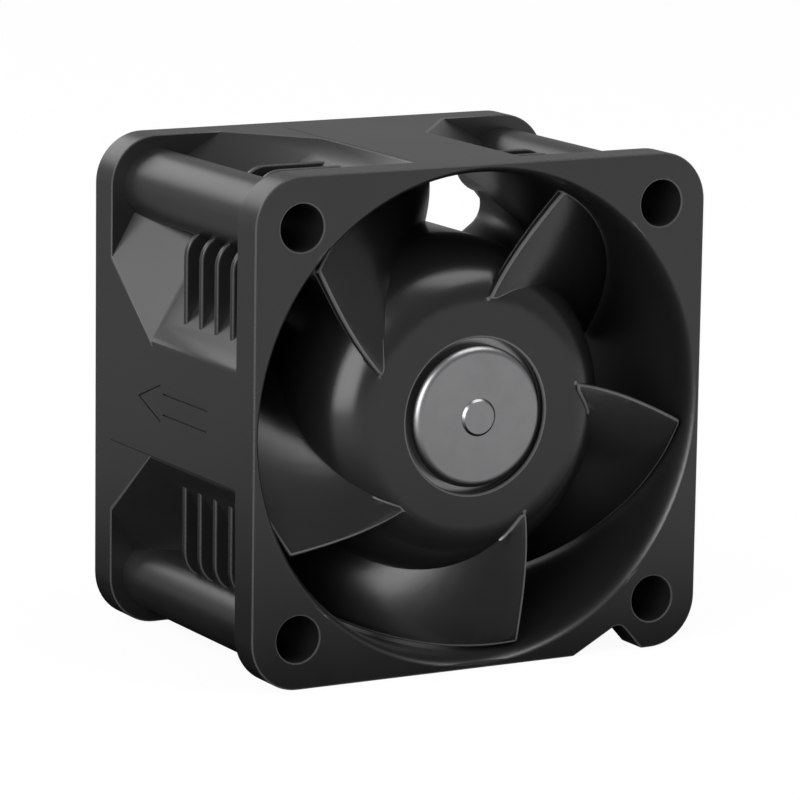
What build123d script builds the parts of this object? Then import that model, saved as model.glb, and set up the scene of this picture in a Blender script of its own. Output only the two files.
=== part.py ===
from build123d import *
import math
import os

# Cooling fan for a server: a moulded housing with a five-bladed rotor on two ball bearings,
# driven by a motor inside the hub.
# X points to the right seen from the inlet, Y the way the air goes, and Z up.
# The origin lies on the rotor axis, halfway between the inlet face and the outlet face.
# Lengths are in millimetres and angles in degrees, anticlockwise seen from the inlet.

# Housing
frame_side = 40.0
frame_depth = 28.0
flange_thickness = 3.0
hole_inset = 4.0
hole_radius = 1.85
post_wall = 1.05
duct_wall = 0.85
mouth_lip = 0.7
mouth_depth = 2.0
flare_rise = 0.9
flare_side_setback = 1.0

# Bands along the sides, facets across the corners, and the ramps that end them at the outlet flange
facet_angles = (30, 60, 120, 150)
facet_wall = 0.3
band_half_width = 4.75
band_foot_half_width = 6.0
band_edge_radius = 0.9
ramp_length = 7.7
ramp_rise = 3.0

# Cooling fins in the corner pockets
fin_count = 4
fin_thickness = 0.6
fin_pitch = 2.65
fin_rear_setback = 2.9
fin_side_setback = 1.3
fin_hole_setback = 2.0
fin_edge_radius = 2.2

# Notch in the inlet flange, through which the leads leave
notch_setback = 4.85
notch_width = 6.32
notch_apex = 4.25
notch_height = 2.31
notch_fillet = 0.9

# Motor base in the outlet, and the vanes that carry it
base_depth = 9.7
base_recess = 0.8
base_wall = 1.1
base_floor = 1.2
base_edge_radius = 0.8
board_ledge = 0.9
vane_count = 7
vane_thickness = 1.2
vane_front_setback = 8.5
vane_rear_setback = 0.6
vane_rear_angle = 35.7
vane_turn = 14.0
vane_foot_margin = 0.1
vane_foot_depth = 0.4
vane_foot_fillet = 2.0
vane_root_sink = 0.8

# Impeller
hub_radius = 13.6
hub_wall = 1.1
hub_opening_radius = 6.2
hub_flat_radius = 8.8
hub_face_setback = 1.0
hub_dome_depth = 7.0
rotor_gap = 0.6
blade_count = 5
blade_thickness = 0.7
tip_clearance = 0.25
blade_front_setback = 1.1
blade_rear_margin = 0.5
blade_root_angle = 83.3
blade_tip_angle = 66.8
blade_root_wrap = 80.3
blade_tip_wrap = 59.0
blade_root_entry = 0.03
blade_tip_entry = 0.52
blade_bow = 1.3
blade_root_cover = 0.5

# Rotor cup, magnet and shaft
nose_radius = 5.65
nose_setback = 0.55
nose_edge_radius = 0.6
nose_thickness = 1.1
cup_wall = 0.8
cup_shoulder_radius = 7.0
cup_shoulder_setback = 2.05
cup_cone_depth = 3.55
cup_rear_recess = 0.4
shaft_radius = 1.5
shaft_front_setback = 0.4
shaft_end_gap = 0.2
shaft_tail = 1.1
shaft_chamfer = 0.2
magnet_wall = 1.5
magnet_front_gap = 1.1
magnet_rear_recess = 0.4
air_gap = 0.3

# Ball bearings
bearing_radius = 4.0
bearing_width = 4.0
front_bearing_setback = 3.4
race_wall = 0.65
race_depth = 0.15
race_clearance = 0.05
bearing_chamfer = 0.15
ball_count = 7
shield_thickness = 0.25
shield_recess = 0.3
shield_seat = 0.25
shield_clearance = 0.1
cage_wall = 0.66
cage_width = 1.9
cage_clearance = 0.06

# Bearing tube and what it holds
tube_wall = 0.8
tube_front_lip = 0.2
tube_shoulder_radius = 3.1
spring_thickness = 0.3
spring_cone_height = 0.4
spring_bore_radius = 2.7
spring_clearance = 0.05
clip_thickness = 0.4
clip_radius = 2.2
clip_depth = 0.3
clip_gap = 1.0
plug_thickness = 0.6
plug_insert = 1.4
plug_clearance = 0.05

# Stator
tooth_count = 6
stack_front_recess = 2.3
stack_board_gap = 2.1
yoke_wall = 1.5
tooth_width = 2.2
shoe_depth = 0.8
slot_opening = 1.6
insulator_thickness = 0.6
insulator_margin = 0.3
insulator_rim = 0.5
insulator_rim_height = 1.2
coil_thickness = 1.2
coil_yoke_gap = 0.3
coil_corner_radius = 0.8

# Circuit board and its components
board_thickness = 1.0
board_setback = 1.6
board_clearance = 0.2
pin_count = 3
pin_radius = 0.3
pin_boss_radius = 0.6
pin_boss_height = 1.2
pin_stickout = 0.6
pin_clearance = 0.05
chip_side = 4.0
chip_height = 0.9
chip_angle = 270.0
sensor_width = 2.8
sensor_depth = 1.4
sensor_height = 1.0
sensor_angle = 60.0
capacitor_length = 3.2
capacitor_width = 1.6
capacitor_height = 1.5
capacitor_angles = (20.0, 160.0)
resistor_length = 1.6
resistor_width = 0.8
resistor_height = 0.5
resistor_angles = (75.0, 105.0, 215.0)

# Places that follow from these sizes
inlet_y = -frame_depth / 2
outlet_y = frame_depth / 2
half_side = frame_side / 2
corner_radius = hole_inset
hole_place = half_side - hole_inset
post_radius = hole_radius + post_wall
duct_radius = half_side - duct_wall
mouth_radius = duct_radius + mouth_lip
flare_radius = duct_radius + flare_rise
facet_slope = math.radians(facet_angles[0])
facet_distance = duct_radius + facet_wall
band_foot_distance = (facet_distance - band_foot_half_width * math.sin(facet_slope)) / math.cos(facet_slope)
ramp_end_y = outlet_y - flange_thickness
ramp_start_y = ramp_end_y - ramp_length
last_fin_y = ramp_start_y - fin_rear_setback
fin_reach = half_side - fin_side_setback
fin_end = hole_place - fin_hole_setback
notch_end = half_side - notch_setback
notch_start = notch_end - notch_width

base_rear_y = outlet_y - base_recess
base_front_y = base_rear_y - base_depth
base_inner_radius = hub_radius - base_wall
base_floor_y = base_rear_y - base_floor
ledge_radius = base_inner_radius - board_ledge
tube_rear_y = base_rear_y - plug_thickness

hub_face_y = inlet_y + hub_face_setback
hub_rear_y = base_front_y - rotor_gap
hub_dome_end_y = hub_face_y + hub_dome_depth
blade_front_y = inlet_y + blade_front_setback
blade_depth = hub_rear_y - blade_rear_margin - blade_front_y
blade_tip_radius = duct_radius - tip_clearance
cup_radius = hub_radius - hub_wall
cup_inner_radius = cup_radius - cup_wall
cup_shoulder_y = inlet_y + cup_shoulder_setback
cup_cone_end_y = cup_shoulder_y + cup_cone_depth
cup_rear_y = hub_rear_y - cup_rear_recess
nose_y = inlet_y + nose_setback
cup_cone_lift = cup_wall / 2
magnet_inner_radius = cup_inner_radius - magnet_wall
magnet_front_y = cup_cone_end_y + cup_cone_lift + magnet_front_gap
magnet_rear_y = cup_rear_y - magnet_rear_recess
stator_radius = magnet_inner_radius - air_gap

tube_radius = bearing_radius + tube_wall
front_bearing_y = inlet_y + front_bearing_setback
front_bearing_end_y = front_bearing_y + bearing_width
plug_front_y = tube_rear_y - plug_insert
shaft_rear_y = plug_front_y - shaft_end_gap
rear_bearing_end_y = shaft_rear_y - shaft_tail
rear_bearing_y = rear_bearing_end_y - bearing_width
pitch_radius = (shaft_radius + bearing_radius) / 2
inner_race_radius = shaft_radius + race_wall
outer_race_radius = bearing_radius - race_wall
groove_radius = (outer_race_radius - inner_race_radius) / 2 + race_depth
ball_radius = groove_radius - race_clearance
boss_radius = tube_radius + base_wall
boss_y = rear_bearing_end_y - base_wall

stack_rear_y = base_front_y - stack_board_gap
stack_front_y = magnet_front_y + stack_front_recess
stack_length = stack_rear_y - stack_front_y
stack_middle_y = (stack_front_y + stack_rear_y) / 2
yoke_radius = tube_radius + yoke_wall
shoe_inner_radius = stator_radius - shoe_depth
coil_outer_radius = shoe_inner_radius - insulator_rim
coil_inner_radius = yoke_radius + coil_yoke_gap
board_front_y = base_front_y + board_setback
board_rear_y = board_front_y + board_thickness
pin_ring_radius = (tube_radius + yoke_radius) / 2
chip_ring_radius = (boss_radius + ledge_radius) / 2


def across(y):
    """Plane across the rotor axis at depth y, facing the inlet."""
    return Plane.XZ.offset(-y)


def turned(y, angle):
    """The same plane with its own X axis turned to an angle round the rotor axis."""
    turn = math.radians(angle)
    return Plane(origin=(0, y, 0), x_dir=(math.cos(turn), 0, math.sin(turn)), z_dir=(0, -1, 0))


def outward(angle, distance, y=0.0):
    """Plane that faces away from the rotor axis at an angle, with its own Y axis along the axis."""
    turn = math.radians(angle)
    out = (math.cos(turn), 0, math.sin(turn))
    side = (-math.sin(turn), 0, math.cos(turn))
    return Plane(origin=(distance * out[0], y, distance * out[2]), x_dir=side, z_dir=out)


def save(part, name):
    """Label a finished piece and write it to its own file."""
    part.label = name
    export_step(part, f"parts/{name}.step")


def faceted_square(half_width, distance):
    """A square with two facets cut across each of its corners, at a distance from the rotor axis."""
    Rectangle(2 * half_width, 2 * half_width)
    for angle in facet_angles:
        Rectangle(2 * distance, 2 * frame_side, rotation=angle, mode=Mode.INTERSECT)


def side_band():
    """Section of the raised band along one side of the duct, with its sloping flanks."""
    Polygon(
        (band_foot_distance, -band_foot_half_width),
        (half_side, -band_half_width),
        (half_side, band_half_width),
        (band_foot_distance, band_foot_half_width),
        align=None,
    )


def vane_outline():
    """Section of one vane, with a flared foot at the motor base and one at the duct."""
    inner = hub_radius - vane_root_sink
    with Locations(((inner + flare_radius) / 2, 0)):
        Rectangle(flare_radius - inner, vane_thickness)
    foot_width = vane_thickness + 2 * (vane_foot_fillet + vane_foot_margin)
    with Locations((inner + vane_foot_depth / 2, 0), (flare_radius - vane_foot_depth / 2, 0)):
        Rectangle(vane_foot_depth, foot_width)
    corners = vertices().filter_by(lambda corner: abs(abs(corner.Y) - vane_thickness / 2) < 0.01)
    fillet(corners, radius=vane_foot_fillet)


# Room behind the rotor, where the duct widens in its corners
with BuildPart() as flare:
    with BuildSketch(Plane.XY):
        with BuildLine():
            Polyline(
                (0, ramp_start_y),
                (duct_radius, ramp_start_y),
                (flare_radius, outlet_y),
                (0, outlet_y),
                close=True,
            )
        make_face()
    revolve(axis=Axis.Y)
    with BuildSketch(across(ramp_start_y)):
        Rectangle(frame_side - 2 * flare_side_setback, frame_side - 2 * flare_side_setback)
    extrude(amount=ramp_start_y - outlet_y, mode=Mode.INTERSECT)

# Vanes from the motor base to the duct, cut off inside the duct wall
with BuildPart() as vanes:
    vane_front_y = outlet_y - vane_front_setback
    vane_rear_y = base_rear_y - vane_rear_setback
    for vane in range(vane_count):
        rear_angle = vane_rear_angle + vane * 360 / vane_count
        for share, turn in ((0, 1), (0.5, 0.25), (1, 0)):
            depth = vane_front_y + share * (vane_rear_y - vane_front_y)
            with BuildSketch(turned(depth, rear_angle - turn * vane_turn)):
                vane_outline()
        loft()
    with BuildSketch(across(vane_front_y)):
        Rectangle(frame_side - duct_wall, frame_side - duct_wall)
    extrude(amount=vane_front_y - vane_rear_y, mode=Mode.INTERSECT)

# Housing: one moulding with both flanges, the duct, the posts, the vanes and the motor base
with BuildPart() as housing:
    for flange_y in (inlet_y, outlet_y - flange_thickness):
        with BuildSketch(across(flange_y)):
            RectangleRounded(frame_side, frame_side, corner_radius)
        extrude(amount=-flange_thickness)

    with BuildSketch(across(inlet_y)) as duct_outline:
        faceted_square(band_foot_distance, facet_distance)
        with PolarLocations(0, 4):
            side_band()
        band_edges = duct_outline.vertices().filter_by(
            lambda corner: max(abs(corner.X), abs(corner.Z)) > half_side - band_edge_radius / 2
        )
        fillet(band_edges, radius=band_edge_radius)
    extrude(amount=-frame_depth)
    with BuildSketch(across(ramp_start_y)):
        faceted_square(half_side, facet_distance)
    with BuildSketch(across(ramp_end_y)):
        faceted_square(half_side, facet_distance + ramp_rise)
    loft(ruled=True)

    for fin in range(fin_count):
        with BuildSketch(across(last_fin_y - fin * fin_pitch - fin_thickness / 2)):
            RectangleRounded(2 * fin_reach, 2 * fin_end, fin_edge_radius)
            RectangleRounded(2 * fin_end, 2 * fin_reach, fin_edge_radius)
        extrude(amount=-fin_thickness)

    with BuildSketch(Plane.XY):
        with BuildLine():
            Polyline((0, outlet_y), (0, inlet_y), (mouth_radius, inlet_y))
            EllipticalCenterArc(
                (mouth_radius, inlet_y + mouth_depth),
                mouth_radius - duct_radius,
                mouth_depth,
                start_angle=270,
                arc_size=-90,
            )
            Polyline((duct_radius, inlet_y + mouth_depth), (duct_radius, outlet_y), (0, outlet_y))
        make_face()
    revolve(axis=Axis.Y, mode=Mode.SUBTRACT)
    add(flare.part, mode=Mode.SUBTRACT)

    with BuildSketch(across(inlet_y)):
        with GridLocations(2 * hole_place, 2 * hole_place, 2, 2):
            Circle(post_radius)
    extrude(amount=-frame_depth)
    with BuildSketch(across(inlet_y)):
        with GridLocations(2 * hole_place, 2 * hole_place, 2, 2):
            Circle(hole_radius)
    extrude(amount=-frame_depth, mode=Mode.SUBTRACT)

    with BuildSketch(across(inlet_y)) as notch:
        with BuildLine():
            Polyline(
                (notch_start, -half_side),
                (notch_start + notch_apex, notch_height - half_side),
                (notch_end, -half_side),
                close=True,
            )
        make_face()
        fillet(notch.vertices().sort_by(Axis.Y)[-1], radius=notch_fillet)
    extrude(amount=-flange_thickness, mode=Mode.SUBTRACT)

    with BuildSketch(Plane.XY) as base_profile:
        with BuildLine():
            Polyline(
                (base_inner_radius, base_front_y),
                (hub_radius, base_front_y),
                (hub_radius, base_rear_y),
                (tube_radius, base_rear_y),
                (tube_radius, boss_y),
                (boss_radius, boss_y),
                (boss_radius, base_floor_y),
                (ledge_radius, base_floor_y),
                (ledge_radius, board_rear_y),
                (base_inner_radius, board_rear_y),
                close=True,
            )
        make_face()
        outer_corner = base_profile.vertices().group_by(Axis.X)[-1].sort_by(Axis.Y)[-1]
        fillet(outer_corner, radius=base_edge_radius)
    revolve(axis=Axis.Y)
    add(vanes.part)
save(housing.part, "housing")


# Impeller: hub and blades in one moulding
def hub_radius_at(y):
    """Outer radius of the domed hub at depth y."""
    share = min(max((hub_dome_end_y - y) / hub_dome_depth, 0), 1)
    return hub_flat_radius + (hub_radius - hub_flat_radius) * math.sqrt(1 - share**2)


def blade_point(along, span):
    """Point on the middle surface of the first blade, from front to rear and from hub to tip."""
    root_y = blade_front_y + blade_depth * (blade_root_entry * along + (1 - blade_root_entry) * along**2)
    tip_y = blade_front_y + blade_depth * (blade_tip_entry * along + (1 - blade_tip_entry) * along**2)
    root_angle = blade_root_angle - blade_root_wrap * along
    tip_angle = blade_tip_angle - blade_tip_wrap * along
    root_radius = hub_radius_at(root_y)
    radius = root_radius + (blade_tip_radius - root_radius) * span
    bow = 4 * blade_bow * span * (1 - span)
    turn = math.radians(root_angle + (tip_angle - root_angle) * span - bow)
    y = root_y + (tip_y - root_y) * span
    return Vector(radius * math.cos(turn), y, radius * math.sin(turn))


blade_steps = 16
span_steps = 8
span_start = -0.06
span_end = 1.08
blade_grid = [
    [
        blade_point(row / blade_steps, span_start + (span_end - span_start) * column / span_steps)
        for column in range(span_steps + 1)
    ]
    for row in range(blade_steps + 1)
]

with BuildPart() as blade:
    thicken(Face.make_surface_from_array_of_points(blade_grid), amount=blade_thickness / 2, both=True)
    blade_inner_radius = hub_flat_radius + blade_root_cover
    with BuildSketch(Plane.XY):
        with Locations(((blade_inner_radius + blade_tip_radius) / 2, 0)):
            Rectangle(blade_tip_radius - blade_inner_radius, frame_depth)
    revolve(axis=Axis.Y, mode=Mode.INTERSECT)

with BuildPart() as impeller:
    with BuildSketch(Plane.XY):
        with BuildLine():
            Polyline(
                (hub_radius, hub_dome_end_y),
                (hub_radius, hub_rear_y),
                (cup_radius, hub_rear_y),
                (cup_radius, cup_cone_end_y),
                (cup_shoulder_radius, cup_shoulder_y),
                (hub_opening_radius, cup_shoulder_y),
                (hub_opening_radius, hub_face_y),
                (hub_flat_radius, hub_face_y),
            )
            EllipticalCenterArc(
                (hub_flat_radius, hub_dome_end_y),
                hub_radius - hub_flat_radius,
                hub_dome_depth,
                start_angle=270,
                arc_size=90,
            )
        make_face()
    revolve(axis=Axis.Y)
    for number in range(blade_count):
        add(blade.part.rotate(Axis.Y, number * 360 / blade_count))
save(impeller.part, "impeller")


# Rotor cup: pressed steel, with the nose that shows in the hub and the boss that holds the shaft
with BuildPart() as rotor_cup:
    nose_inner_radius = nose_radius - cup_wall
    with BuildSketch(Plane.XY) as cup_profile:
        with BuildLine():
            Polyline(
                (shaft_radius, nose_y),
                (nose_radius, nose_y),
                (nose_radius, cup_shoulder_y),
                (cup_shoulder_radius, cup_shoulder_y),
                (cup_radius, cup_cone_end_y),
                (cup_radius, cup_rear_y),
                (cup_inner_radius, cup_rear_y),
                (cup_inner_radius, cup_cone_end_y + cup_cone_lift),
                (cup_shoulder_radius - cup_cone_lift, cup_shoulder_y + cup_wall),
                (nose_inner_radius, cup_shoulder_y + cup_wall),
                (nose_inner_radius, nose_y + nose_thickness),
                (shaft_radius + race_wall - race_clearance, nose_y + nose_thickness),
                (shaft_radius + race_wall - race_clearance, front_bearing_y),
                (shaft_radius, front_bearing_y),
                close=True,
            )
        make_face()
        nose_corner = cup_profile.vertices().group_by(Axis.Y)[0].sort_by(Axis.X)[-1]
        fillet(nose_corner, radius=nose_edge_radius)
    revolve(axis=Axis.Y)
save(rotor_cup.part, "rotor_cup")


def ring_section(inner, outer, front, rear):
    """Section of a plain ring round the rotor axis, between two radii and two depths."""
    with Locations(((inner + outer) / 2, (front + rear) / 2)):
        Rectangle(outer - inner, rear - front)


with BuildPart() as magnet_ring:
    with BuildSketch(Plane.XY):
        ring_section(magnet_inner_radius, cup_inner_radius, magnet_front_y, magnet_rear_y)
    revolve(axis=Axis.Y)
save(magnet_ring.part, "magnet_ring")

with BuildPart() as shaft:
    with BuildSketch(across(inlet_y + shaft_front_setback)):
        Circle(shaft_radius)
    extrude(amount=inlet_y + shaft_front_setback - shaft_rear_y)
    chamfer(shaft.faces().sort_by(Axis.Y)[0].edges(), length=shaft_chamfer)
    chamfer(shaft.faces().sort_by(Axis.Y)[-1].edges(), length=shaft_chamfer)
    with BuildSketch(across(rear_bearing_end_y)):
        Circle(shaft_radius)
        Circle(shaft_radius - clip_depth, mode=Mode.SUBTRACT)
    extrude(amount=-clip_thickness, mode=Mode.SUBTRACT)
save(shaft.part, "shaft")

with BuildPart() as retaining_ring:
    with BuildSketch(across(rear_bearing_end_y)):
        Circle(clip_radius)
        Circle(shaft_radius - clip_depth, mode=Mode.SUBTRACT)
        with Locations((clip_radius, 0)):
            Rectangle(2 * clip_radius, clip_gap, mode=Mode.SUBTRACT)
    extrude(amount=-clip_thickness)
save(retaining_ring.part, "retaining_ring")

# Two shielded ball bearings, one near each end of the shaft
for bearing, start_y in (("front_bearing", front_bearing_y), ("rear_bearing", rear_bearing_y)):
    end_y = start_y + bearing_width
    middle_y = (start_y + end_y) / 2
    shield_radius = outer_race_radius + shield_seat

    with BuildPart() as outer_ring:
        with BuildSketch(Plane.XY) as outer_profile:
            with Locations(((outer_race_radius + bearing_radius) / 2, middle_y)):
                Rectangle(race_wall, bearing_width)
            outer_edge = outer_profile.vertices().group_by(Axis.X)[-1]
            chamfer(outer_edge, length=bearing_chamfer)
            with Locations((pitch_radius, middle_y)):
                Circle(groove_radius, mode=Mode.SUBTRACT)
            with Locations(
                ((outer_race_radius + shield_radius) / 2, start_y + shield_recess / 2),
                ((outer_race_radius + shield_radius) / 2, end_y - shield_recess / 2),
            ):
                Rectangle(shield_seat, shield_recess, mode=Mode.SUBTRACT)
        revolve(axis=Axis.Y)
    save(outer_ring.part, f"{bearing}_outer_ring")

    with BuildPart() as inner_ring:
        with BuildSketch(Plane.XY):
            with Locations(((shaft_radius + inner_race_radius) / 2, middle_y)):
                Rectangle(race_wall, bearing_width)
            with Locations((pitch_radius, middle_y)):
                Circle(groove_radius, mode=Mode.SUBTRACT)
        revolve(axis=Axis.Y)
    save(inner_ring.part, f"{bearing}_inner_ring")

    for side, shield_y in (
        ("front", start_y + shield_recess - shield_thickness),
        ("rear", end_y - shield_recess),
    ):
        with BuildPart() as shield:
            with BuildSketch(Plane.XY):
                ring_section(
                    inner_race_radius + shield_clearance,
                    shield_radius,
                    shield_y,
                    shield_y + shield_thickness,
                )
            revolve(axis=Axis.Y)
        save(shield.part, f"{bearing}_{side}_shield")

    ball_angles = [number * 360 / ball_count for number in range(ball_count)]
    with BuildPart() as cage:
        with BuildSketch(Plane.XY):
            ring_section(
                pitch_radius - cage_wall / 2,
                pitch_radius + cage_wall / 2,
                middle_y - cage_width / 2,
                middle_y + cage_width / 2,
            )
        revolve(axis=Axis.Y)
        for angle in ball_angles:
            with BuildSketch(outward(angle, 0, middle_y)):
                Circle(ball_radius + cage_clearance)
            extrude(amount=bearing_radius, mode=Mode.SUBTRACT)
    save(cage.part, f"{bearing}_cage")

    with BuildPart() as balls:
        with Locations([outward(angle, pitch_radius, middle_y) for angle in ball_angles]):
            Sphere(ball_radius)
    save(balls.part, f"{bearing}_balls")


# Bearing tube with its inner shoulder, the preload spring behind the shoulder, and the rear plug
spring_seat_y = rear_bearing_y - spring_cone_height - spring_thickness - 2 * spring_clearance
with BuildPart() as bearing_tube:
    with BuildSketch(Plane.XY):
        ring_section(bearing_radius, tube_radius, front_bearing_y - tube_front_lip, tube_rear_y)
        ring_section(tube_shoulder_radius, bearing_radius, front_bearing_end_y, spring_seat_y)
    revolve(axis=Axis.Y)
save(bearing_tube.part, "bearing_tube")

with BuildPart() as preload_spring:
    spring_front_y = spring_seat_y + spring_clearance
    spring_rim_radius = bearing_radius - spring_clearance
    with BuildSketch(Plane.XY):
        with BuildLine():
            Polyline(
                (spring_bore_radius, spring_front_y + spring_cone_height),
                (spring_rim_radius, spring_front_y),
                (spring_rim_radius, spring_front_y + spring_thickness),
                (spring_bore_radius, spring_front_y + spring_cone_height + spring_thickness),
                close=True,
            )
        make_face()
    revolve(axis=Axis.Y)
save(preload_spring.part, "preload_spring")

with BuildPart() as rear_plug:
    with BuildSketch(Plane.XY):
        ring_section(0, tube_radius - plug_clearance, tube_rear_y, base_rear_y)
        ring_section(0, bearing_radius - plug_clearance, plug_front_y, tube_rear_y)
    revolve(axis=Axis.Y)
save(rear_plug.part, "rear_plug")


# Stator: laminated core, two insulators and one coil on each tooth
def spokes(width, inner, outer):
    """One radial bar for each tooth."""
    with PolarLocations((inner + outer) / 2, tooth_count):
        Rectangle(outer - inner, width)


with BuildPart() as stator_core:
    with BuildSketch(across(stack_front_y)):
        Circle(stator_radius)
        Circle(shoe_inner_radius, mode=Mode.SUBTRACT)
        with PolarLocations(stator_radius, tooth_count, start_angle=180 / tooth_count):
            Rectangle(4 * shoe_depth, slot_opening, mode=Mode.SUBTRACT)
        Circle(yoke_radius)
        spokes(tooth_width, tube_radius, stator_radius - shoe_depth / 2)
        Circle(tube_radius, mode=Mode.SUBTRACT)
    extrude(amount=-stack_length)
save(stator_core.part, "stator_core")


def insulator_face():
    """Flat of an insulator, over the yoke and along the teeth."""
    Circle(yoke_radius)
    spokes(tooth_width + 2 * insulator_margin, tube_radius, shoe_inner_radius)
    Circle(tube_radius, mode=Mode.SUBTRACT)


def insulator_walls():
    """Raised walls at the tips of the teeth, which keep the coils in place."""
    spokes(tooth_width + 2 * coil_thickness, coil_outer_radius, shoe_inner_radius)


with BuildPart() as front_insulator:
    with BuildSketch(across(stack_front_y - insulator_thickness)):
        insulator_face()
    extrude(amount=-insulator_thickness)
    with BuildSketch(across(stack_front_y - insulator_thickness - insulator_rim_height)):
        insulator_walls()
    extrude(amount=-insulator_thickness - insulator_rim_height)
save(front_insulator.part, "front_insulator")

pin_start_angle = 180 / tooth_count
with BuildPart() as rear_insulator:
    with BuildSketch(across(stack_rear_y)):
        insulator_face()
    extrude(amount=-insulator_thickness)
    with BuildSketch(across(stack_rear_y)):
        insulator_walls()
    extrude(amount=-insulator_thickness - insulator_rim_height)
    with BuildSketch(across(stack_rear_y + insulator_thickness)):
        with PolarLocations(pin_ring_radius, pin_count, start_angle=pin_start_angle):
            Circle(pin_boss_radius)
    extrude(amount=-pin_boss_height)
    with BuildSketch(across(stack_rear_y + insulator_thickness)):
        with PolarLocations(pin_ring_radius, pin_count, start_angle=pin_start_angle):
            Circle(pin_radius)
    extrude(amount=-pin_boss_height, mode=Mode.SUBTRACT)
save(rear_insulator.part, "rear_insulator")

coil_hole_height = stack_length + 2 * insulator_thickness
coil_hole_width = tooth_width + 2 * insulator_margin
for tooth in range(tooth_count):
    with BuildPart() as coil:
        with BuildSketch(outward(tooth * 360 / tooth_count, coil_inner_radius, stack_middle_y)):
            RectangleRounded(
                coil_hole_width + 2 * coil_thickness,
                coil_hole_height + 2 * coil_thickness,
                coil_corner_radius,
            )
            Rectangle(coil_hole_width, coil_hole_height, mode=Mode.SUBTRACT)
        extrude(amount=coil_outer_radius - coil_inner_radius)
    save(coil.part, f"coil_{tooth + 1}")


# Circuit board on its ledge in the motor base, with its components
with BuildPart() as circuit_board:
    with BuildSketch(across(board_front_y)):
        Circle(base_inner_radius - board_clearance)
        Circle(tube_radius + board_clearance, mode=Mode.SUBTRACT)
        with PolarLocations(pin_ring_radius, pin_count, start_angle=pin_start_angle):
            Circle(pin_radius + pin_clearance, mode=Mode.SUBTRACT)
    extrude(amount=-board_thickness)
save(circuit_board.part, "circuit_board")

for pin in range(pin_count):
    with BuildPart() as terminal_pin:
        with BuildSketch(turned(stack_rear_y + insulator_thickness, pin_start_angle + pin * 360 / pin_count)):
            with Locations((pin_ring_radius, 0)):
                Circle(pin_radius)
        extrude(amount=stack_rear_y + insulator_thickness - board_rear_y - pin_stickout)
    save(terminal_pin.part, f"terminal_pin_{pin + 1}")

with BuildPart() as driver_chip:
    with BuildSketch(turned(board_rear_y, chip_angle)):
        with Locations((chip_ring_radius, 0)):
            Rectangle(chip_side, chip_side)
    extrude(amount=-chip_height)
    chamfer(driver_chip.faces().sort_by(Axis.Y)[-1].edges(), length=shaft_chamfer / 2)
save(driver_chip.part, "driver_chip")

with BuildPart() as position_sensor:
    with BuildSketch(turned(board_front_y - sensor_height, sensor_angle)):
        with Locations((magnet_inner_radius + magnet_wall / 2, 0)):
            Rectangle(sensor_depth, sensor_width)
    extrude(amount=-sensor_height)
save(position_sensor.part, "position_sensor")

for number, angle in enumerate(capacitor_angles, start=1):
    with BuildPart() as capacitor:
        with BuildSketch(turned(board_rear_y, angle)):
            with Locations((chip_ring_radius, 0)):
                Rectangle(capacitor_width, capacitor_length)
        extrude(amount=-capacitor_height)
    save(capacitor.part, f"capacitor_{number}")

for number, angle in enumerate(resistor_angles, start=1):
    with BuildPart() as resistor:
        with BuildSketch(turned(board_rear_y, angle)):
            with Locations((chip_ring_radius, 0)):
                Rectangle(resistor_width, resistor_length)
        extrude(amount=-resistor_height)
    save(resistor.part, f"resistor_{number}")
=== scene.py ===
import math

import bmesh
import bpy
from mathutils import Matrix, Vector


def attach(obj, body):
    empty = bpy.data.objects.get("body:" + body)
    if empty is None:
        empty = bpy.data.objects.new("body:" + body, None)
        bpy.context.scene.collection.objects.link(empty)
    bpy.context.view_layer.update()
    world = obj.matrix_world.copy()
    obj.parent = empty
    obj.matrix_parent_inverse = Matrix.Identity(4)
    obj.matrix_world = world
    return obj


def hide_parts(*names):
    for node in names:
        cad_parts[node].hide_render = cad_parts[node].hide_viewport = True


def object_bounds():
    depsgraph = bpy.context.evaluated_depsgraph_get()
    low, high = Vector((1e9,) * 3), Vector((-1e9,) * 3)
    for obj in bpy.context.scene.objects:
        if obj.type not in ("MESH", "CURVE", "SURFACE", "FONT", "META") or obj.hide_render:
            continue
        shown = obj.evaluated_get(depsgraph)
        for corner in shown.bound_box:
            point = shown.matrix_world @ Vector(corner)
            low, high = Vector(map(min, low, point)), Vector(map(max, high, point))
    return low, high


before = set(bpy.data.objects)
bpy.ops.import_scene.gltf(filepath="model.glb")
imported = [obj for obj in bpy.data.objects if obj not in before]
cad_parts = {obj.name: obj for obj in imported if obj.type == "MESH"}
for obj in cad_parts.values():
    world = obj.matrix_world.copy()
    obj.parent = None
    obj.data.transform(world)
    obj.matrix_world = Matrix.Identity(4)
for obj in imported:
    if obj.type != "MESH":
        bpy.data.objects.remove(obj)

# Cooling fan: finishes, fine edges, engraved marks, floor, lights and camera.
# Lengths are in metres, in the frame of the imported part.

# Places and sizes that several functions share
cad_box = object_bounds()
left_side, inlet, underside = cad_box[0]
outer_side = cad_box[1][0]
MM = 0.001
# Material slot of the paler round-edge finish, which paints a highlight along the edges
PAINTED_HIGHLIGHT_SLOT = 1
CREASE = math.radians(24)
WHITE = (1.0, 1.0, 1.0)
SEAM_HEIGHT = -4.5 * MM
SEAM_REACH = 10.9 * MM


# Shader tools

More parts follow.
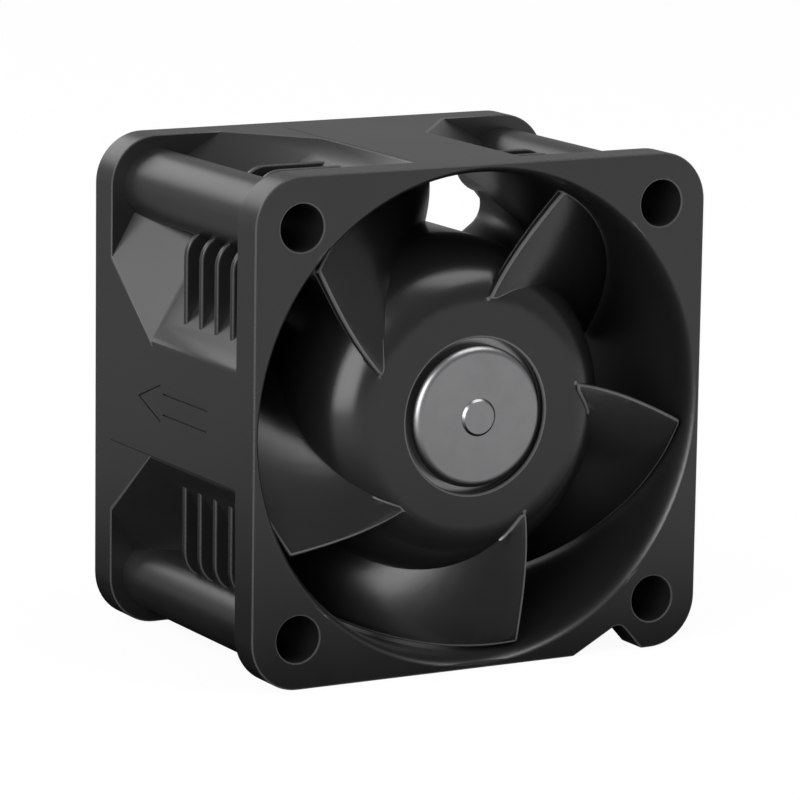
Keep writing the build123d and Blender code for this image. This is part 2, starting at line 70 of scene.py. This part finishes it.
class Value:
    """A number on a shader socket, so that shader maths reads as ordinary expressions."""

    def __init__(self, finish, socket):
        self.finish = finish
        self.socket = socket

    def __add__(self, other):
        return self.finish.math("ADD", self, other)

    def __radd__(self, other):
        return self.finish.math("ADD", other, self)

    def __sub__(self, other):
        return self.finish.math("SUBTRACT", self, other)

    def __rsub__(self, other):
        return self.finish.math("SUBTRACT", other, self)

    def __mul__(self, other):
        return self.finish.math("MULTIPLY", self, other)

    def __rmul__(self, other):
        return self.finish.math("MULTIPLY", other, self)

    def __pow__(self, other):
        return self.finish.math("POWER", self, other)

    def clamp(self):
        """The same number, kept between 0 and 1."""
        return self.finish.node("ShaderNodeClamp", {}, Value=self)["Result"]

    def smooth(self, low, high):
        """0 below low and 1 above high, with a soft step between."""
        settings = {"interpolation_type": "SMOOTHSTEP"}
        inputs = {"Value": self, "From Min": low, "From Max": high}
        return self.finish.node("ShaderNodeMapRange", settings, **inputs)["Result"]


class Finish:
    """One material: a node tree with its shader and its output."""

    def __init__(self, name):
        self.material = bpy.data.materials.new(name)
        self.material.use_nodes = True
        self.tree = self.material.node_tree
        self.tree.nodes.clear()
        self.place = self.node("ShaderNodeTexCoord", {})["Object"]

    def node(self, kind, settings, **inputs):
        """Add a node: its settings first, then its sockets, each by name or by number as in _0."""
        made = self.tree.nodes.new(kind)
        for name, value in settings.items():
            setattr(made, name, value)
        for name, value in inputs.items():
            socket = made.inputs[int(name[1:])] if name[0] == "_" else made.inputs[name]
            if isinstance(value, Value):
                self.tree.links.new(value.socket, socket)
            elif socket.type == "RGBA":
                socket.default_value = (*value, 1.0)
            else:
                socket.default_value = value
        results = {}
        for number, out in enumerate(made.outputs):
            results[number] = Value(self, out)
            results[out.name] = results[number]
        return results

    def math(self, operation, *terms):
        """One Math node on numbers or values."""
        inputs = {f"_{number}": term for number, term in enumerate(terms)}
        return self.node("ShaderNodeMath", {"operation": operation}, **inputs)["Value"]

    def mix(self, share, first, second):
        """Blend of two colours, which are sockets 6 and 7 of a Mix node, with its result on output 2."""
        return self.node("ShaderNodeMix", {"data_type": "RGBA"}, _0=share, _6=first, _7=second)[2]

    def distance(self, first, second):
        """Distance of a point on the piece from the line along which two coordinates are 0."""
        axes = self.node("ShaderNodeSeparateXYZ", {}, Vector=self.place)
        return (axes[first] * axes[first] + axes[second] * axes[second]) ** 0.5

    def noise(self, scale, detail):
        """Cloudy pattern from 0 to 1, with about that many patches in a metre."""
        return self.node("ShaderNodeTexNoise", {}, Vector=self.place, Scale=scale, Detail=detail)["Fac"]

    def bump(self, height, depth):
        """Normal of a surface raised by a height from 0 to 1, times a depth in metres."""
        return self.node("ShaderNodeBump", {}, Height=height, Distance=depth)["Normal"]

    def glow(self, strength):
        """White light of a strength, where 1 shows as white."""
        return self.node("ShaderNodeEmission", {}, Color=WHITE, Strength=strength)["Emission"]

    def blend(self, share, first, second):
        """Blend of two shaders."""
        return self.node("ShaderNodeMixShader", {}, _0=share, _1=first, _2=second)["Shader"]

    def close(self, shader):
        """Lead a shader to the output, and give the material."""
        self.node("ShaderNodeOutputMaterial", {}, Surface=shader)
        return self.material

    def surface(self, **inputs):
        """Close the material with one principled shader, its sockets named with _ for a space."""
        inputs = {name.replace("_", " "): value for name, value in inputs.items()}
        return self.close(self.node("ShaderNodeBsdfPrincipled", {}, **inputs)["BSDF"])


# Finishes

def toned(colour, share):
    """A colour made darker, or paler, by a share."""
    return tuple(part * share for part in colour)


def moulded_plastic(name, colour, roughness, grain_depth, refraction):
    """Black injection-moulded plastic, with faint marks of its flow and a fine grain."""
    finish = Finish(name)
    flow = finish.noise(scale=90.0, detail=3.0)
    grain = finish.noise(scale=5200.0, detail=1.0)
    flow_gloss = (flow - 0.5) * 0.08
    grain_gloss = (grain - 0.5) * 0.05
    paler = toned(colour, 1.22)
    return finish.surface(
        Base_Color=finish.mix(flow.smooth(low=0.35, high=0.7), colour, paler),
        Roughness=(roughness + flow_gloss + grain_gloss).clamp(),
        Normal=finish.bump(grain, grain_depth),
        IOR=refraction,
    )


def turned_metal(name, colour, roughness):
    """Steel turned on a lathe: fine rings round the rotor axis, and faint clouding."""
    finish = Finish(name)
    radians_per_metre = 42000.0
    rings = finish.math("SINE", finish.distance("X", "Z") * radians_per_metre) * 0.5 + 0.5
    cloud = finish.noise(scale=700.0, detail=2.0)
    ring_gloss = (rings - 0.5) * 0.05
    cloud_gloss = (cloud - 0.5) * 0.04
    darker = toned(colour, 0.95)
    return finish.surface(
        Base_Color=finish.mix(cloud.smooth(low=0.3, high=0.75), colour, darker),
        Metallic=1.0,
        Roughness=(roughness + ring_gloss + cloud_gloss).clamp(),
        Normal=finish.bump(rings, depth=0.4e-6),
    )


def plain_metal(name, colour, roughness):
    """Ground or pressed metal, with faint clouding."""
    finish = Finish(name)
    cloud = finish.noise(scale=900.0, detail=3.0)
    cloud_gloss = (cloud - 0.5) * 0.12
    darker = toned(colour, 0.85)
    return finish.surface(
        Base_Color=finish.mix(cloud.smooth(low=0.3, high=0.8), colour, darker),
        Metallic=1.0,
        Roughness=(roughness + cloud_gloss).clamp(),
    )


def plain_solid(name, colour, roughness):
    """Matt inner piece: rubber, nylon, ceramic or a moulded package, with a fine speckle."""
    finish = Finish(name)
    speckle = finish.noise(scale=2600.0, detail=2.0)
    speckle_gloss = (speckle - 0.5) * 0.1
    darker = toned(colour, 0.8)
    return finish.surface(
        Base_Color=finish.mix(speckle.smooth(low=0.35, high=0.7), colour, darker),
        Roughness=(roughness + speckle_gloss).clamp(),
        Normal=finish.bump(speckle, depth=2.0e-6),
    )


def packed(node):
    """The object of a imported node."""
    return bpy.data.objects[node]


def dress(material, *nodes):
    """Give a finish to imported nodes."""
    for node in nodes:
        materials = packed(node).data.materials
        materials.clear()
        materials.append(material)


# Mouldings, with a paler, glossier finish for their small round edges, whose paler colour is a painted
# highlight
black = (0.006, 0.006, 0.0063)
housing_grain = 0.5e-6
smooth_grain = 0.1e-6
housing_plastic = moulded_plastic("housing_plastic", black, 0.36, housing_grain, 1.52)
impeller_plastic = moulded_plastic("impeller_plastic", black, 0.25, smooth_grain, 1.44)
# Round-edge finishes: their paler colour is a painted highlight along the edges, their lower roughness is
# real gloss
housing_edge_painted_highlight = moulded_plastic("housing_edge_painted_highlight", (0.036, 0.036, 0.0365), 0.28, smooth_grain, 1.5)
impeller_edge_painted_highlight = moulded_plastic("impeller_edge_painted_highlight", (0.055, 0.055, 0.056), 0.2, smooth_grain, 1.5)
dress(housing_plastic, "housing")
dress(impeller_plastic, "impeller")

# Rotor
dress(turned_metal("cup_steel", (0.235, 0.235, 0.24), 0.34), "rotor_cup")
dress(turned_metal("shaft_steel", (0.23, 0.23, 0.235), 0.3), "shaft")
dress(plain_solid("magnet", (0.09, 0.085, 0.08), 0.6), "magnet_ring")

# Bearings, and what holds them
bearing_steel = plain_metal("bearing_steel", (0.62, 0.62, 0.64), 0.18)
shield_steel = plain_metal("shield_steel", (0.55, 0.55, 0.56), 0.3)
cage_steel = plain_metal("cage_steel", (0.5, 0.5, 0.5), 0.35)
for bearing in ("front_bearing", "rear_bearing"):
    dress(bearing_steel, f"{bearing}_outer_ring", f"{bearing}_inner_ring", f"{bearing}_balls")
    dress(shield_steel, f"{bearing}_front_shield", f"{bearing}_rear_shield")
    dress(cage_steel, f"{bearing}_cage")
dress(plain_metal("spring_steel", (0.55, 0.55, 0.56), 0.3), "preload_spring", "retaining_ring")
dress(plain_metal("tube_brass", (0.72, 0.53, 0.26), 0.28), "bearing_tube")
dress(plain_solid("plug_rubber", (0.03, 0.03, 0.03), 0.7), "rear_plug")

# Stator
dress(plain_metal("core_steel", (0.36, 0.36, 0.37), 0.4), "stator_core")
dress(plain_metal("coil_wire", (0.72, 0.33, 0.16), 0.3), *[f"coil_{coil}" for coil in range(1, 7)])
dress(plain_metal("pin_brass", (0.8, 0.64, 0.36), 0.25), *[f"terminal_pin_{pin}" for pin in (1, 2, 3)])
dress(plain_solid("insulator_plastic", (0.75, 0.72, 0.62), 0.5), "front_insulator", "rear_insulator")

# Circuit board
dress(plain_solid("circuit_board", (0.03, 0.18, 0.07), 0.4), "circuit_board")
dress(plain_solid("chip_plastic", (0.03, 0.03, 0.03), 0.5), "driver_chip", "position_sensor")
dress(plain_solid("ceramic_chip", (0.55, 0.42, 0.3), 0.5), "capacitor_1", "capacitor_2")
dress(plain_solid("resistor", (0.05, 0.05, 0.06), 0.5), "resistor_1", "resistor_2", "resistor_3")


# Mesh tools

def merged_copy(node):
    """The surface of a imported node, with its points merged and its flat faces whole."""
    shape = bmesh.new()
    shape.from_mesh(packed(node).data)
    bmesh.ops.remove_doubles(shape, verts=shape.verts, dist=0.0005 * MM)
    bmesh.ops.dissolve_limit(
        shape,
        angle_limit=math.radians(0.4),
        use_dissolve_boundaries=False,
        verts=shape.verts,
        edges=shape.edges,
        delimit=set(),
    )
    return shape


def cut_from(shape, tool):
    """What is left of one closed shape when another is cut out of it."""
    things = []
    for name, part in (("cut_shape", shape), ("cut_tool", tool)):
        mesh = bpy.data.meshes.new(name)
        part.to_mesh(mesh)
        part.free()
        thing = bpy.data.objects.new(name, mesh)
        bpy.context.scene.collection.objects.link(thing)
        things.append(thing)
    cut = things[0].modifiers.new("cut", "BOOLEAN")
    cut.operation = "DIFFERENCE"
    cut.solver = "EXACT"
    cut.object = things[1]
    left = bmesh.new()
    left.from_object(things[0], bpy.context.evaluated_depsgraph_get())
    for thing in things:
        mesh = thing.data
        bpy.data.objects.remove(thing)
        bpy.data.meshes.remove(mesh)
    return left


def has_neighbour(edge, edges):
    """Whether an edge runs on into another one of a set."""
    return any(other in edges and other != edge for corner in edge.verts for other in corner.link_edges)


def soften(shape, width, sharpest, kept):
    """Round off the outer edges that turn by more than an angle, apart from lone ones and those kept."""
    outer = {
        edge
        for edge in shape.edges
        if edge.is_manifold and edge.calc_face_angle_signed() > sharpest and edge not in kept
    }
    edges = [edge for edge in shape.edges if edge in outer and has_neighbour(edge, outer)]
    rounded = bmesh.ops.bevel(
        shape,
        geom=edges,
        offset=width,
        offset_type="OFFSET",
        segments=2,
        profile=0.5,
        affect="EDGES",
        clamp_overlap=False,
        material=-1,
    )
    # The rounded faces take the paler edge finish, a painted highlight
    for face in rounded["faces"]:
        face.material_index = PAINTED_HIGHLIGHT_SLOT


def add_piece(name, shape, materials, body, node):
    """Make a finished piece from a bmesh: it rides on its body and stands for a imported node."""
    mesh = bpy.data.meshes.new(name)
    for face in shape.faces:
        face.smooth = True
    for edge in shape.edges:
        edge.smooth = edge.is_manifold and edge.calc_face_angle() < CREASE
    shape.to_mesh(mesh)
    shape.free()
    for material in materials:
        mesh.materials.append(material)
    piece = bpy.data.objects.new(name, mesh)
    bpy.context.scene.collection.objects.link(piece)
    even = piece.modifiers.new("even_normals", "WEIGHTED_NORMAL")
    even.weight = 100
    even.keep_sharp = True
    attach(piece, body)
    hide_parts(node)


# Engraved arrow and mould seams

def groove_bar(start, end, width, depth):
    """Bar that cuts a straight groove in the left side, between two points given by depth and height."""
    along = Vector((0.0, end[0] - start[0], end[1] - start[1]))
    turn = Matrix.Rotation(math.atan2(along.z, along.y), 4, "X")
    middle = Vector((left_side, (start[0] + end[0]) / 2, (start[1] + end[1]) / 2))
    bar = bmesh.new()
    bmesh.ops.create_cube(bar, size=1.0)
    bmesh.ops.scale(bar, vec=(2 * depth, along.length + width, width), verts=bar.verts)
    bmesh.ops.transform(bar, matrix=Matrix.Translation(middle) @ turn, verts=bar.verts)
    return bar


def arrow_bars():
    """Bars for the outline of the arrow that shows the way of the air."""
    width = 0.13 * MM
    depth = 0.14 * MM
    tip = (5.86 * MM, 0.0)
    bars = []
    for way in (-1, 1):
        barb = (2.08 * MM, way * 1.44 * MM)
        shoulder = (1.55 * MM, way * 0.83 * MM)
        tail = (-5.97 * MM, way * 0.83 * MM)
        bars.append(groove_bar(tip, barb, width, depth))
        bars.append(groove_bar(shoulder, tail, width, depth))
    return bars


def seam_bars():
    """Bars for the fine mould seam along one edge of the band on each side."""
    width = 0.07 * MM
    depth = 0.08 * MM
    bars = []
    for side in range(4):
        bar = groove_bar((-SEAM_REACH, SEAM_HEIGHT), (SEAM_REACH, SEAM_HEIGHT), width, depth)
        turn = Matrix.Rotation(side * math.pi / 2, 4, "Y")
        bmesh.ops.transform(bar, matrix=turn, verts=bar.verts)
        bars.append(bar)
    return bars


# Edges that stay sharp

def edges_within(shape, holds):
    """Edges of a shape whose two ends both pass a test."""
    return {edge for edge in shape.edges if all(holds(corner.co) for corner in edge.verts)}


def groove_edges(shape):
    """Edges of the arrow and of the mould seams, which lie just inside the four sides."""
    inner = outer_side - 0.3 * MM
    reach_y = SEAM_REACH + 0.07 * MM
    reach_side = 0.1 * MM - SEAM_HEIGHT

    def in_groove(point):
        along, outward = sorted((abs(point.x), abs(point.z)))
        return outward > inner and along < reach_side and abs(point.y) < reach_y

    return edges_within(shape, in_groove)


def thin_rim_edges(shape):
    """Edges of the mouth where its rim comes within a hair of the four sides."""
    hair = 0.05 * MM
    thin = 0.7 * MM

    def on_thin_rim(point):
        inside = math.hypot(point.x, point.z) < outer_side - hair
        close = max(abs(point.x), abs(point.z)) > outer_side - thin
        return point.y < inlet + hair and inside and close

    return edges_within(shape, on_thin_rim)


def hub_edges(shape):
    """Edges where the blades meet the domed hub."""
    flat_radius = 8.8 * MM
    hub_radius = 13.6 * MM
    dome_front = -13.0 * MM
    dome_depth = 7.0 * MM
    margin = 0.9 * MM

    def near_hub(point):
        share = min(max(1.0 - (point.y - dome_front) / dome_depth, 0.0), 1.0)
        dome = flat_radius + (hub_radius - flat_radius) * math.sqrt(1.0 - share**2)
        return abs(math.hypot(point.x, point.z) - dome) < margin and point.y > dome_front + margin / 4

    return edges_within(shape, near_hub)


# Housing and impeller

def build_housing():
    """The housing, with its engraved marks and the small round edges that moulded plastic has."""
    housing = merged_copy("housing")
    for bar in arrow_bars() + seam_bars():
        housing = cut_from(housing, bar)
    kept = groove_edges(housing) | thin_rim_edges(housing)
    soften(housing, width=0.12 * MM, sharpest=math.radians(24), kept=kept)
    # Second finish: painted highlight on the round edges
    finishes = (housing_plastic, housing_edge_painted_highlight)
    add_piece("housing_moulding", housing, finishes, "frame", "housing")


def build_impeller():
    """The impeller, with small round edges on its blades and its hub."""
    impeller = merged_copy("impeller")
    soften(impeller, width=0.19 * MM, sharpest=math.radians(32), kept=hub_edges(impeller))
    # Second finish: painted highlight on the round edges
    finishes = (impeller_plastic, impeller_edge_painted_highlight)
    add_piece("impeller_moulding", impeller, finishes, "rotor", "impeller")


# Floor, lights and camera

def add_flat(name, near, far, half_width, height, material):
    """Flat sheet for the stage, level, between two places on Y."""
    shape = bmesh.new()
    bmesh.ops.create_grid(shape, x_segments=1, y_segments=1, size=0.5)
    bmesh.ops.scale(shape, vec=(2 * half_width, far - near, 1.0), verts=shape.verts)
    bmesh.ops.translate(shape, vec=(0, (near + far) / 2, height), verts=shape.verts)
    mesh = bpy.data.meshes.new(name)
    shape.to_mesh(mesh)
    shape.free()
    mesh.materials.append(material)
    flat = bpy.data.objects.new(name, mesh)
    bpy.context.scene.collection.objects.link(flat)
    return flat


def build_floor():
    """Pale floor that shows white and keeps the soft shadow, and in reflections has a painted shadow: its
    glow fades to black close to the fan.
    """
    half_width = 3.0
    white_share = 0.95
    finish = Finish("floor_pale")
    path = finish.node("ShaderNodeLightPath", {})
    camera = path["Is Camera Ray"]
    seen = (camera + path["Is Glossy Ray"] + path["Is Transmission Ray"]).clamp()
    # Painted shadow: for reflections the floor's glow fades to black within a few centimetres of the fan
    outside_painted_shadow = finish.distance("X", "Y").smooth(low=0.02, high=0.085)
    matt = finish.node("ShaderNodeBsdfDiffuse", {}, Color=(0.86, 0.86, 0.86))["BSDF"]
    white = finish.blend((camera + outside_painted_shadow).clamp(), finish.glow(0.0), finish.glow(1.0))
    pale = finish.close(finish.blend(seen * white_share, matt, white))
    add_flat("floor", -half_width, half_width, half_width, underside, pale)


def build_card():
    """Dark glowing card on the floor behind the fan, seen only in reflections: a painted reflection, which a
    painted shadow fades to black close to the fan.
    """
    greyness = 0.32
    half_width = 0.7
    near = -0.02
    far = 1.4
    above_floor = 0.5 * MM
    finish = Finish("painted_reflection_card")
    # Painted shadow: the card's glow fades to black close to the fan
    outside_painted_shadow = finish.distance("X", "Y").smooth(low=0.022, high=0.09)
    # Painted reflection: a glow that lights nothing and shows only in reflections
    grey = finish.close(finish.blend(outside_painted_shadow, finish.glow(0.0), finish.glow(greyness)))
    card = add_flat("painted_reflection_card", near, far, half_width, underside + above_floor, grey)
    card.visible_camera = False
    card.visible_diffuse = False
    card.visible_shadow = False


def add_softbox(name, place, width, height, watts):
    """Rectangular soft light that faces the middle of the fan."""
    data = bpy.data.lights.new(name, "AREA")
    data.shape = "RECTANGLE"
    data.size = width
    data.size_y = height
    data.energy = watts
    lamp = bpy.data.objects.new(name, data)
    lamp.location = place
    lamp.rotation_euler = (-Vector(place)).to_track_quat("-Z", "Y").to_euler()
    bpy.context.scene.collection.objects.link(lamp)


def build_lights():
    """Softboxes above, behind and at the left of the fan, and a pale surround."""
    add_softbox("top_softbox", (0.25, -0.22, 0.61), width=0.46, height=0.46, watts=2.8)
    add_softbox("rear_softbox", (-0.18, 0.85, 0.42), width=0.70, height=0.36, watts=1.7)
    add_softbox("left_softbox", (-0.48, -0.37, 0.20), width=0.46, height=0.50, watts=4.7)
    add_softbox("side_softbox", (-0.58, 0.16, 0.36), width=0.40, height=0.30, watts=1.6)
    world = bpy.data.worlds.new("surround")
    world.use_nodes = True
    surround = world.node_tree.nodes["Background"].inputs
    surround["Color"].default_value = (*WHITE, 1.0)
    surround["Strength"].default_value = 0.38
    bpy.context.scene.world = world


def build_camera():
    """Camera at the left of the inlet and a little above, as fitted to the fan's corners."""
    place = (-0.182656, -0.327956, 0.071144)
    ahead = Vector((0.47878592, 0.85742662, -0.18863626))
    up = Vector((0.07902035, 0.17190451, 0.98193922))
    data = bpy.data.cameras.new("camera")
    data.sensor_width = 36.0
    data.lens = 213.9
    data.clip_start = 0.01
    camera = bpy.data.objects.new("camera", data)
    turn = Matrix((ahead.cross(up), up, -ahead)).transposed().to_4x4()
    camera.matrix_world = Matrix.Translation(place) @ turn
    bpy.context.scene.collection.objects.link(camera)
    bpy.context.scene.camera = camera


build_housing()
build_impeller()
build_floor()
build_card()
build_lights()
build_camera()
bpy.context.scene.view_settings.view_transform = "Standard"
